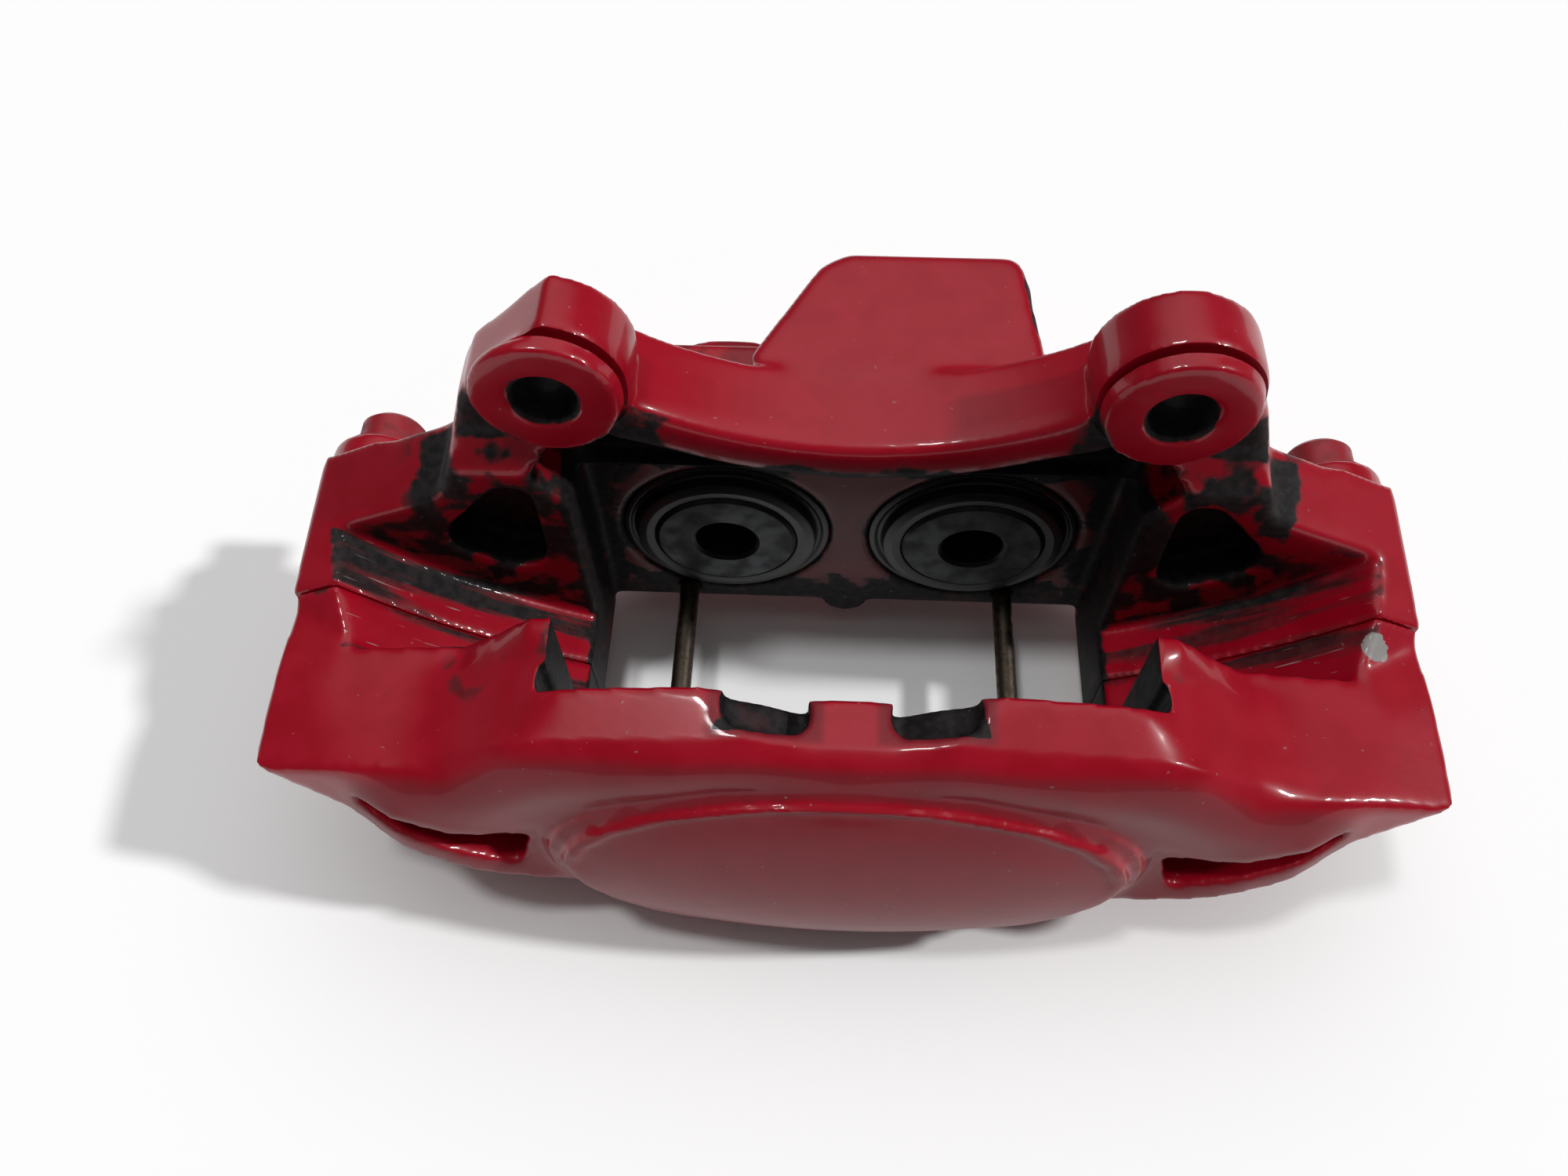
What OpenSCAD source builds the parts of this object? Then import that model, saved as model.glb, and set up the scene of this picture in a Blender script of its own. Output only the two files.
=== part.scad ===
/* [Disc] */
// Diameter of the brake disc that runs in the slot
disc_d = 316; // [296:1:330]
// Thickness of the brake disc
disc_t = 22; // [18:1:26]
// Free space between the disc and each side of the slot
disc_side_gap = 2.5; // [1.5:0.1:4]
// Free space between the disc's edge and the slot's floor
disc_edge_gap = 3.5; // [2:0.1:6]
// Height of the wheel axis above the row of pistons
hub_h = 136; // [130:1:142]

/* [Pad window] */
// Width of the window between the pad abutments
window_w = 122; // [116:1:126]
// Distance between the machined cylinder walls of the two halves
wall_gap = 60; // [56:1:66]
// Diameter of a pad pin
pin_d = 5; // [4:0.1:6]
// Distance between the two pad pins
pin_pitch = 81; // [81:0.5:86]
// Depth of the pad pins below the row of pistons
pin_drop = 26; // [26:0.1:26.6]
// Length of the head of a pad pin
pin_head_l = 4; // [2:0.5:8]

/* [Pistons] */
// Diameter of a piston
piston_d = 38; // [34:0.5:40]
// Distance between two neighbouring pistons
piston_pitch = 59.4; // [56:0.2:62]
// Length of a piston
piston_l = 19; // [17:0.5:20]
// How far a piston stands out of its wall at rest
piston_out = 3; // [2:0.5:5]
// Diameter of the hole in a piston's face
piston_hole_d = 14.8; // [10:0.2:20]
// Depth of the hole in a piston's face
piston_hole_l = 12; // [8:0.5:13]
// Diameter of a piston's nose, where the boot grips it
nose_d = 34; // [30:0.5:36]
// Length of a piston's nose
nose_l = 2.2; // [1.5:0.1:3]
// Radial clearance between a piston and its bore
piston_fit = 0.05; // [0.02:0.01:0.1]
// Travel that a piston has left behind it at rest
piston_back = 2.2; // [1.8:0.1:2.6]
// Width of a square piston seal
seal_w = 3; // [2:0.1:4]
// Radial height of a square piston seal
seal_h = 2.4; // [1.5:0.1:3]
// Distance from the wall to the middle of a piston seal
seal_in = 7.2; // [6.8:0.1:7.6]

/* [Dust boots] */
// Outer diameter of a dust boot in its recess
boot_d = 50; // [47:0.2:50]
// Depth of the recess for a dust boot
boot_l = 4.2; // [3.8:0.1:4.6]
// Thickness of the rubber of a dust boot
boot_t = 1.1; // [0.8:0.1:1.6]
// Gap between a dust boot and the piston in it
boot_fit = 0.1; // [0.05:0.01:0.2]

/* [Mounting ears] */
// Distance between the two mounting holes
ear_pitch = 122; // [116:1:128]
// Height of the mounting holes above the row of pistons
ear_h = 66; // [60:1:70]
// Distance of the ear faces from the split between the halves
ear_face_y = 14.5; // [14:0.5:18]
// Diameter of a mounting hole
ear_hole_d = 13; // [10:0.1:15]
// Diameter of the round face of an ear
ear_boss_d = 30; // [27:0.5:32]
// Thickness of the round face of an ear
ear_boss_t = 3.2; // [2:0.1:4]
// Width of the groove behind the round face
ear_groove_w = 1.6; // [1:0.1:2.5]
// Depth of the groove behind the round face
ear_groove_h = 1.5; // [0.5:0.1:3]
// Diameter of an ear
ear_d = 33; // [30:0.5:36]
// Thickness of an ear behind the groove
ear_t = 13.2; // [10:0.2:16]
// Height of the arched rib between the ears
rib_h = 11; // [8:0.5:13]
// Depth of the arched rib, towards the inboard side
rib_w = 21; // [18:0.5:24]
// Height of the rib's underside above the pistons, at its middle
rib_z = 36; // [34:0.5:38]

/* [Body] */
// Overall length of the halves
body_l = 248; // [236:1:260]
// Thickness of the bridge over the disc's edge
bridge_t = 20.5; // [18:0.5:26]
// Depth of the inboard ends behind the split
shoulder_y = 32; // [30:0.5:36]
// Depth of the inboard half at its cylinders
back_y = 69; // [64:0.5:74]
// Depth of the outboard ends in front of the split
nose_y = 40; // [38:0.5:44]
// Depth of the outboard half at its oval pad, level with the pistons
pod_y = 53.5; // [53:0.1:57]
// Lean of the outboard face
face_lean = 8; // [6:0.5:9]
// Width of the raised oval pad
oval_w = 118; // [100:1:122]
// Height of the raised oval pad
oval_h = 57; // [48:1:60]
// How far the oval pad stands out
oval_t = 2.5; // [1:0.1:4]
// How far the oval pad is domed
dome_t = 6; // [3:0.5:7]
// Wall round a cylinder bore
cylinder_wall = 7; // [5:0.5:8]
// Height of the hub-side face above the pistons, at its middle
hub_face_z = 33; // [30:0.5:36]
// Height of the hose block above the pistons
block_z = 48; // [44:0.5:52]

/* [Bolts and fluid] */
// Thread diameter of a bridge bolt
bolt_d = 10; // [8:0.5:12]
// Diameter of a bridge bolt's round head
bolt_head_d = 16; // [14:0.5:17]
// Width across flats of the socket in the head
socket_af = 8; // [6:1:9]
// Depth of the socket in the head
socket_l = 5; // [3:0.5:6]
// Diameter of a bridge bolt's flange
flange_d = 21; // [18:0.5:23]
// Thickness of a bridge bolt's flange
flange_t = 2.4; // [1.5:0.1:4]
// Height of a bridge bolt's head above its flange
bolt_head_h = 7.6; // [6:0.2:10]
// Distance from an end of the halves to an outer bridge bolt
bolt_edge = 11; // [10:0.5:13]
// Height of the outer bridge bolts above the pistons
bolt_z = 8; // [6:0.5:9]
// Distance from the pad window to an inner bridge bolt
inner_bolt_edge = 16; // [14:0.5:19]
// Depth of the inner bridge bolts below the pistons
inner_bolt_drop = 20; // [18:0.5:22]
// Distance of the bolt seats behind the split
bolt_seat_y = 42; // [40:0.5:46]
// How far a bridge bolt reaches into the outboard half
bolt_reach = 24; // [18:0.5:28]
// Radial clearance round a bolt or a pin in its hole
hole_fit = 0.25; // [0.1:0.05:0.5]
// Diameter of a fluid drilling
drill_d = 3; // [2.4:0.1:3.2]
// Diameter of the hose port's thread bore
port_d = 9; // [8:0.1:11]
// Depth of the hose port
port_l = 15; // [12:0.5:18]
// Thread diameter of the bleed screw
bleed_d = 8; // [7:0.5:10]
// Height of the bleed screw's hexagon
bleed_hex_h = 5; // [4:0.5:7]
// Diameter of the bleed screw's hose nipple
nipple_d = 5; // [4:0.5:6]
// Length of the bleed screw's hose nipple
nipple_l = 9; // [7:0.5:12]
// Thickness of the rubber of the bleed cap
cap_t = 1.7; // [1:0.1:2.5]

/* [Hidden] */
$fn = 64;
eps = 0.01;
far = 400;

// Colours of the paint, the bare metals and the rubber
paint = "firebrick";
steel = "dimgray";
rubber = "#1a1c1f";

// Places that follow from the sizes above
slot_y = disc_t / 2 + disc_side_gap;
slot_r = disc_d / 2 + disc_edge_gap;
half_w = window_w / 2;
half_l = body_l / 2;
wall_y = wall_gap / 2;
bore_l = piston_l - piston_out + piston_back;
bore_r = piston_d / 2 + piston_fit;
pod_r = piston_d / 2 + cylinder_wall;
boot_r = boot_d / 2;
ear_front = ear_face_y + ear_boss_t + ear_groove_w;
ear_back = ear_front + ear_t;
outer_r = slot_r + bridge_t;
bottom_z = hub_h - outer_r;
rib_top_r = hub_h - rib_z - rib_h;
rib_low_r = hub_h - rib_z;
shoulder_x = ear_pitch / 2 + ear_d / 2 + 8;
shoulder_z = ear_h - 24;
end_z = 15;
tip_z = 13.5;
oval_z = -3;
dome_high_r = (pow(oval_h / 2, 2) + pow(dome_t, 2)) / (2 * dome_t);
dome_long_r = (pow(oval_w / 2, 2) + pow(dome_t, 2)) / (2 * dome_t);
relief_z = 4;
relief_t = 1.8;
scallop_r = 33;
cone_drop = 0.62 * (pod_y + 12 - wall_y);
ear_flat = 11.3;
pin_x = pin_pitch / 2;
pin_z = -pin_drop;
bolt_x = half_l - bolt_edge;
inner_bolt_x = half_w + inner_bolt_edge;
cross_x = (bolt_x + inner_bolt_x) / 2;
cross_z = -11;
cross_d = 12;
cross_t = 1.8;
port_x = 38.5;
port_y = back_y - 3;
port_z = block_z - 11;
bleed_x = -piston_pitch / 2 - 12;
bleed_z = -8;
bleed_seat_y = back_y - 12;
bleed_hex_y = back_y + 1.5;
bleed_hex_d = bleed_d + 3.5;
nipple_y = bleed_hex_y + bleed_hex_h;
nipple_end = nipple_y + nipple_l;
barb_d = nipple_d + 1.4;
cap_bore_d = barb_d + 0.2;
pin_end_y = wall_y + 8;
pin_head_y = back_y - 12;
head_d = pin_d + 3;
sleeve_l = 12;
sleeve_d = pin_d + 2.4;

// Corner of an outline, rounded to a radius, as a short run of points
function corner(a, b, c, r) =
    let (u = (a - b) / norm(a - b), v = (c - b) / norm(c - b))
    norm(u + v) < 0.05 ? [b] :
    let (half = acos(u * v) / 2,
         reach = min(r / tan(half), norm(a - b) / 2, norm(c - b) / 2),
         rr = reach * tan(half),
         mid = b + (u + v) / norm(u + v) * rr / sin(half),
         p = b + u * reach - mid,
         q = b + v * reach - mid)
    [for (i = [0 : 4])
        let (w = p * sin(90 * (4 - i) / 4) + q * sin(90 * i / 4)) mid + w / norm(w) * rr];

// Outline with every corner rounded
function rounded(pts, r) =
    let (n = len(pts))
    [for (i = [0 : n - 1]) each corner(pts[(i + n - 1) % n], pts[i], pts[(i + 1) % n], r)];

// Points of an ellipse
function ellipse(a, b, steps = 48) =
    [for (i = [0 : steps - 1]) [a * cos(360 * i / steps), b * sin(360 * i / steps)]];

// The part's origin is midway between the mounting holes, on the ear faces
module in_frame() translate([0, -ear_face_y, -ear_h]) children();

// Front outline (x, z) carried along y, plan outline (x, y) carried along z,
// and side outline (y, z) carried along x
module along_y(y0, y1) translate([0, y1, 0]) rotate([90, 0, 0]) linear_extrude(y1 - y0) children();
module along_z(z0, z1) translate([0, 0, z0]) linear_extrude(z1 - z0) children();
module along_x(x0, x1) translate([x0, 0, 0]) rotate([90, 0, 90]) linear_extrude(x1 - x0) children();

// Round bar along y
module rod_y(x, z, y0, y1, d) translate([x, y0, z]) rotate([-90, 0, 0]) cylinder(d = d, h = y1 - y0);

// Round bar between two points
module rod_between(a, b, d) {
    v = b - a;
    translate(a) rotate([0, acos(v[2] / norm(v)), atan2(v[1], v[0])]) cylinder(d = d, h = norm(v));
}

// Everything above the plane through three points
module above(a, b, c) {
    n0 = cross(b - a, c - a);
    n = n0[2] < 0 ? -n0 : n0;
    translate(a) rotate([0, acos(n[2] / norm(n)), atan2(n[1], n[0])])
        translate([-far, -far, 0]) cube([2 * far, 2 * far, far]);
}

module both_ends() {
    children();
    mirror([1, 0, 0]) children();
}

// Drum about the wheel axis
module about_hub(r, y0, y1)
    translate([0, y1, hub_h]) rotate([90, 0, 0]) cylinder(r = r, h = y1 - y0, $fn = 180);

// Holes that both halves share
module bolt_places() {
    for (s = [-1, 1]) {
        translate([s * bolt_x, 0, bolt_z]) children();
        translate([s * inner_bolt_x, 0, -inner_bolt_drop]) children();
    }
}

// Bore of one cylinder with its seal groove and boot recess, from the wall inwards along +y
module cylinder_bore() {
    rotate([-90, 0, 0]) translate([0, 0, -eps]) cylinder(r = bore_r, h = bore_l + eps);
    translate([0, seal_in - seal_w / 2, 0]) rotate([-90, 0, 0])
        cylinder(r = piston_d / 2 + seal_h, h = seal_w);
    rotate([-90, 0, 0]) translate([0, 0, -eps]) cylinder(r = boot_r, h = boot_l + eps);
}

// Room for a pad pin through one half
module pin_hole(y0, y1) for (s = [-1, 1]) rod_y(s * pin_x, pin_z, y0, y1, pin_d + 2 * hole_fit);

/* Inboard half */

// Front outline of one inboard end, from the pad abutment out to the split's tip
function end_outline() = [
    [half_w, bottom_z - 10], [half_l, bottom_z - 10], [half_l, end_z], [half_l - 4, end_z + 12],
    [shoulder_x, shoulder_z], [half_w + 8, shoulder_z], [half_w, ear_h - 33]];

// Front outline of the leg that carries one ear
function leg_outline() = [
    [half_w + 7, end_z], [shoulder_x + 18, end_z], [shoulder_x + 13, shoulder_z - 13],
    [shoulder_x + 5.5, shoulder_z - 9], [shoulder_x + 1.5, shoulder_z - 4], [shoulder_x, shoulder_z + 2],
    [shoulder_x - 3, ear_h - 13], [shoulder_x - 6, ear_h - 4], [shoulder_x - 11, ear_h + 3],
    [ear_pitch / 2, ear_h + 2], [ear_pitch / 2 - 2, ear_h - 12], [half_w + 7, ear_h - 24]];

// Height of the end's sloping top at a place on the inboard half
function slope_z(x, y) = end_z + 0.25 * y + 0.464 * (half_l - x);

// The end's top falls to the outer end and to the split
module inboard_end() {
    intersection() {
        difference() {
            along_y(0, shoulder_y) polygon(rounded(end_outline(), 5));
            above([half_l, 0, end_z], [half_l, shoulder_y, slope_z(half_l, shoulder_y)],
                  [half_l - 28, shoulder_y, slope_z(half_l - 28, shoulder_y)]);
        }
        about_hub(outer_r, 0, shoulder_y);
    }
    difference() {
        along_y(slot_y - 1, ear_back) polygon(rounded(leg_outline(), 5));
        along_x(0, half_l)
            polygon([[slot_y - 2, ear_h - 26], [ear_front, ear_h - 14], [ear_front, far], [-far, far],
                     [-far, ear_h - 26]]);
    }
    for (p = [[bolt_x, bolt_z], [inner_bolt_x, -inner_bolt_drop]])
        rod_y(p[0], p[1], shoulder_y - 12, bolt_seat_y, flange_d + 4);
}

module ear() {
    rod_y(ear_pitch / 2, ear_h, ear_front, ear_back, ear_d);
    groove_y = ear_face_y + ear_boss_t;
    rod_y(ear_pitch / 2, ear_h, groove_y - eps, ear_front + eps, ear_boss_d - 2 * ear_groove_h);
    rod_y(ear_pitch / 2, ear_h, ear_face_y, groove_y, ear_boss_d);
}

// Arched rib between the ears, and the web that stands it on the cylinders
module rib() {
    difference() {
        intersection() {
            along_y(ear_front, ear_front + rib_w)
                translate([-ear_pitch / 2, 0]) square([ear_pitch, hub_h]);
            union() {
                about_hub(rib_low_r, ear_front, ear_front + rib_w);
                about_hub(rib_low_r + 20, wall_y, ear_front + rib_w);
            }
        }
        about_hub(rib_top_r, 0, far);
    }
}

// Plan outline of the cylinder housing
function housing_plan() = [
    [-half_w - 18, wall_y - 5], [half_w + 18, wall_y - 5], [half_w + 8, 46], [half_w - 6, back_y - 8],
    [-half_w + 6, back_y - 8], [-half_w - 8, 46]];

module housing() {
    intersection() {
        along_z(-pod_r - 5, pod_r + 7) polygon(rounded(housing_plan(), 8));
        about_hub(outer_r, 0, far);
    }
    for (s = [-1, 1]) rod_y(s * piston_pitch / 2, 0, wall_y, back_y, 2 * pod_r);
    // half-round lug under the window's edge
    intersection() {
        rod_y(0, -pod_r - 5, wall_y, wall_y + 10, 12);
        along_y(wall_y, wall_y + 10) translate([-10, -pod_r - 13]) square([20, 12]);
    }
}

// Plan outline of the block that takes the hose
function block_plan() = [
    [-26, 40], [-9, back_y + 3], [-3, back_y + 7], [37, back_y + 7], [41, 44], [41, 40]];

module hose_block() {
    along_z(pod_r - 14, block_z) polygon(rounded(block_plan(), 4));
    translate([port_x - 3, port_y, port_z]) rotate([0, 90, 0]) cylinder(d = port_d + 8, h = 3.6);
}

// Triangular casting pocket in the slot's inboard side wall
function pocket_outline() = [
    [half_w + 8, 1], [half_w + 33, 17], [half_w + 15, ear_h - 28], [half_w + 8, ear_h - 29]];

// Fluid drillings between the two cylinders, from the hose port, and to the split
module inboard_fluid() {
    feed_y = wall_y + bore_l - drill_d;
    cross_in = piston_pitch / 2 + bore_r - 2;
    rod_between([-12, feed_y, 0], [12, feed_y, 0], drill_d);
    rod_between([port_x - port_l + 1, port_y, port_z], [port_x - port_l - 3, feed_y, 12], drill_d);
    translate([port_x + 1 - port_l, port_y, port_z]) rotate([0, 90, 0]) cylinder(d = port_d, h = port_l);
    for (s = [-1, 1]) {
        rod_between([s * cross_x, -1, cross_z], [s * cross_in, feed_y + 0.8, -3], drill_d);
        rod_y(s * cross_x, cross_z, -1, cross_t, cross_d);
    }
}

module bleed_hole() {
    feed_y = wall_y + bore_l - drill_d;
    rod_y(bleed_x, bleed_z, bleed_seat_y, back_y + 1, bleed_d + 2 * piston_fit);
    rod_between([bleed_x, bleed_seat_y + 1, bleed_z], [bleed_x + 4, feed_y, bleed_z + 3], drill_d - 1);
}

module inboard_half() {
    color(paint) difference() {
        union() {
            both_ends() inboard_end();
            difference() {
                both_ends() ear();
                // the left ear has a flat on its outer top side
                translate([-ear_pitch / 2, ear_front, ear_h]) rotate([0, -42.5, 0])
                    translate([-far / 2, 0, ear_flat]) cube([far, far, far]);
            }
            rib();
            housing();
            hose_block();
        }
        about_hub(slot_r, -far, slot_y);
        translate([-half_w, -1, -far / 2]) cube([window_w, wall_y + 1, far / 2 + rib_z - 4]);
        for (s = [-1, 1]) translate([s * piston_pitch / 2, wall_y, 0]) cylinder_bore();
        both_ends() rod_y(ear_pitch / 2, ear_h, 0, far, ear_hole_d);
        both_ends() along_y(0, slot_y + 9) polygon(rounded(pocket_outline(), 7));
        bolt_places() rod_y(0, 0, -1, far, bolt_d + 2 * hole_fit);
        bolt_places() rod_y(0, 0, bolt_seat_y, far, flange_d + 3);
        pin_hole(0, far);
        pin_sleeve_seat();
        inboard_fluid();
        bleed_hole();
    }
}

/* Outboard half */

// Front outline of the outboard half's hub side, from the middle out to one end
function top_outline() = concat(
    [for (p = [[0, 0], [8, 0.1], [16, 1.5], [24, 3.5], [31, 4.3], [40, 3.6], [50, 2.4]])
        [p[0], hub_face_z + p[1]]],
    [[half_w + 5, hub_face_z - 1], [half_w + 13, hub_face_z - 8], [half_w + 21, tip_z + 5.5],
     [half_l - 14, tip_z + 2.5], [half_l, tip_z]]);

// Plan outline of the outboard half's ends and middle, at the height of the pistons
function front_plan() = [
    [half_l - 1.5, 1], [half_l + 1, -nose_y - 2], [half_w + 13, -pod_y + 6], [half_w - 20, -pod_y + 4]];

module mirrored_polygon(pts) {
    polygon(pts);
    mirror([1, 0]) polygon(pts);
}

// Tilted with the outboard face, about a line level with the pistons
module leaning() translate([0, -pod_y, 0]) rotate([-face_lean, 0, 0]) translate([0, pod_y, 0]) children();

// Outer surface about the wheel axis, which narrows to a cone in front of the cylinder wall
module outer_bound() {
    front = pod_y + 10;
    translate([0, 0, hub_h]) rotate([90, 0, 0]) rotate_extrude($fn = 180)
        polygon([[0, 0], [outer_r, 0], [outer_r, wall_y - 2], [outer_r - cone_drop, front], [0, front]]);
}

module outboard_body() {
    intersection() {
        along_y(-pod_y - 10, 0)
            mirrored_polygon(concat([[0, bottom_z - 10]], top_outline(), [[half_l, bottom_z - 10]]));
        leaning() along_z(-90, 90)
            mirrored_polygon(concat([[0, 20], [half_l - 1, 20]], rounded_front(), [[0, -pod_y + 4]]));
    }
}

function rounded_front() =
    let (p = front_plan()) [p[0], p[1], each corner(p[1], p[2], p[3], 25), p[3]];

// Facets that ease the hub side down to each flank and to each end
module flank_facets() {
    above([half_w - 11, -nose_y - 2.7, hub_face_z - 1.5], [half_w - 11, -nose_y - 6.2, hub_face_z - 13],
          [half_w + 14, -nose_y - 6.8, hub_face_z - 24]);
    above([0, -nose_y - 3.4, hub_face_z], [20, -nose_y - 3.4, hub_face_z],
          [0, -nose_y - 8.2, hub_face_z - 5]);
    above([30, -wall_y, hub_face_z + 4.3], [50, -wall_y, hub_face_z + 2.3],
          [30, -nose_y - 3.5, hub_face_z + 0.4]);
    intersection() {
        above([half_l - 26, 3 - nose_y, tip_z + 4], [half_l - 6, -nose_y / 2, tip_z + 1],
              [half_l, -nose_y, tip_z - 2]);
        translate([half_w + 21, -far, -far]) cube(2 * far);
    }
}

// Ramp from the split down to the front, level with the inboard end
module end_ramp() {
    difference() {
        translate([half_l - 16, -slot_y, 0]) cube([14.6, slot_y, shoulder_z]);
        above([half_l, 0, end_z], [half_l - 12, 0, slope_z(half_l - 12, 0)],
              [half_l - 11, -slot_y, tip_z - 0.4]);
    }
}

// Raised oval and the round pod under it
module pod() {
    leaning() translate([0, 0, oval_z]) {
        along_y(-pod_y + oval_t, -wall_y - 4) polygon(ellipse(oval_w / 2 + 4, oval_h / 2 + 3));
        intersection() {
            along_y(-pod_y - dome_t, -wall_y - 4) polygon(ellipse(oval_w / 2, oval_h / 2));
            translate([0, dome_long_r - dome_t - pod_y, 0]) rotate_extrude() dome_profile();
        }
    }
}

// Half section of the barrel shape that domes the oval both ways
module dome_profile() {
    translate([0, -oval_h]) square([dome_long_r - dome_high_r, 2 * oval_h]);
    intersection() {
        translate([dome_long_r - dome_high_r, 0]) circle(dome_high_r);
        translate([0, -oval_h]) square([far * 2, 2 * oval_h]);
    }
}

// Two slots in each flank, with a fin between them
module flank_slots() {
    leaning() {
        along_y(-far, -nose_y + 1)
            polygon(rounded([[half_l - 11, 13], [half_w + 6, -0.5], [half_w + 9, -11.5]], 1.5));
        along_y(-far, -nose_y + 1)
            polygon(rounded([[half_w + 25, -14], [half_w + 7, -17], [half_w + 8, -23]], 1));
    }
}

// Scallops in the hub-side edge, with a floor that is turned about the cylinder
module edge_scallops() {
    for (s = [-1, 1]) difference() {
        along_z(boot_r, far)
            polygon(rounded([for (p = [[7.6, 0], [8.4, -6], [11, -8], [22, -8], [24.5, -6], [25.5, 0]])
                [s * p[0], p[1] - wall_y]], 2));
        rod_y(s * piston_pitch / 2, 0, -wall_y - 10, 0, 2 * scallop_r);
    }
}

module outboard_fluid() {
    feed_y = drill_d - wall_y - bore_l;
    cross_in = piston_pitch / 2 + bore_r - 2;
    rod_between([-12, feed_y, 0], [12, feed_y, 0], drill_d);
    for (s = [-1, 1])
        rod_between([s * cross_x, 1, cross_z], [s * cross_in, feed_y - 0.8, -3], drill_d);
}

module outboard_half() {
    color(paint) difference() {
        intersection() {
            union() {
                difference() {
                    outboard_body();
                    both_ends() flank_facets();
                }
                both_ends() end_ramp();
                pod();
            }
            outer_bound();
        }
        about_hub(slot_r, -slot_y, far);
        translate([-half_w, -wall_y, -far / 2]) cube([window_w, wall_y + 1, far]);
        // relief in the corner of each pad abutment
        both_ends() along_z(relief_z, far)
            polygon(rounded([[half_w - 5, -wall_y], [half_w + relief_t, -wall_y],
                             [half_w + relief_t, 6 - wall_y], [half_w - 5, 6 - wall_y]], relief_t / 2));
        for (s = [-1, 1]) translate([s * piston_pitch / 2, -wall_y, 0]) rotate(180) cylinder_bore();
        bolt_places() rod_y(0, 0, -bolt_reach - 3, 1, bolt_d + 2 * hole_fit);
        pin_hole(-pin_end_y, 0);
        both_ends() flank_slots();
        edge_scallops();
        outboard_fluid();
    }
}

/* Pieces in the halves */

// Piston along +y from its face, which looks to -y
module piston() {
    color(steel) difference() {
        rotate([-90, 0, 0]) rotate_extrude()
            polygon([[0, 0], [nose_d / 2 - 0.6, 0], [nose_d / 2, 0.6], [nose_d / 2, nose_l],
                     [piston_d / 2, nose_l], [piston_d / 2, piston_l - 1], [piston_d / 2 - 1, piston_l],
                     [0, piston_l]]);
        rotate([-90, 0, 0]) translate([0, 0, -1]) cylinder(d = piston_hole_d, h = piston_hole_l + 1);
    }
}

module seal() {
    color(rubber) translate([0, seal_in - seal_w / 2, 0]) rotate([-90, 0, 0])
        rotate_extrude() translate([piston_d / 2 + piston_fit / 2, 0])
            square([seal_h - piston_fit / 2, seal_w]);
}

// Dust boot: outer bead in the recess, one fold, and a lip on the piston's nose
module boot() {
    lip_r = nose_d / 2 + boot_fit;
    lip_y = nose_l - piston_out - 0.2;
    bead_r = boot_r - 2 * boot_t;
    color(rubber) rotate([-90, 0, 0]) rotate_extrude()
        polygon([
            [boot_r, 0.4], [boot_r, boot_l], [bead_r, boot_l], [bead_r, boot_t + 0.5],
            [bead_r - boot_t, boot_t + 1.2], [piston_d / 2 + 1.5, lip_y], [lip_r, lip_y],
            [lip_r, lip_y - 1.4], [piston_d / 2 + 1.5 + boot_t, lip_y - 1.4], [bead_r - boot_t / 2, 0.4]]);
}

// A piece of one cylinder in its place: side is -1 left and 1 right, in is 1 inboard and -1 outboard
module at_cylinder(side, in)
    translate([side * piston_pitch / 2, in * wall_y, 0]) rotate(in > 0 ? 0 : 180) children();
module piston_at(side, in) at_cylinder(side, in) translate([0, -piston_out, 0]) piston();

// Pad pin from the head behind the inboard half to its end in the outboard half
module pad_pin(side) {
    color(steel) {
        rod_y(side * pin_x, pin_z, -pin_end_y + 1, pin_head_y + pin_head_l, pin_d);
        rod_y(side * pin_x, pin_z, pin_head_y, pin_head_y + pin_head_l, head_d);
    }
}

// Split sleeve pressed on the pin, inside the inboard half
module pin_sleeve(side) {
    color(steel) difference() {
        rod_y(side * pin_x, pin_z, pin_head_y - sleeve_l, pin_head_y, sleeve_d);
        rod_y(side * pin_x, pin_z, 0, far, pin_d);
        translate([side * pin_x - 0.5, 0, pin_z - 10]) cube([1, far, 10]);
    }
}

// Room for the sleeves and the heads of the pins
module pin_sleeve_seat() for (s = [-1, 1]) {
    rod_y(s * pin_x, pin_z, pin_head_y - sleeve_l - hole_fit, far, sleeve_d + 2 * hole_fit);
    rod_y(s * pin_x, pin_z, pin_head_y - hole_fit, far, head_d + 2 * hole_fit);
}

module bridge_bolts() {
    color(paint) bolt_places() {
        rod_y(0, 0, -bolt_reach, bolt_seat_y + flange_t, bolt_d);
        rod_y(0, 0, bolt_seat_y, bolt_seat_y + flange_t, flange_d);
        difference() {
            rod_y(0, 0, bolt_seat_y, bolt_seat_y + flange_t + bolt_head_h, bolt_head_d);
            translate([0, bolt_seat_y + flange_t + bolt_head_h - socket_l, 0]) rotate([-90, 30, 0])
                cylinder(d = socket_af / cos(30), h = far, $fn = 6);
        }
    }
}

module crossover_seals() {
    color(rubber) for (s = [-1, 1]) translate([s * cross_x, cross_t / 2, cross_z]) rotate([-90, 0, 0])
        rotate_extrude() translate([cross_d / 2 - cross_t / 2, 0]) circle(d = cross_t, $fn = 24);
}

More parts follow.
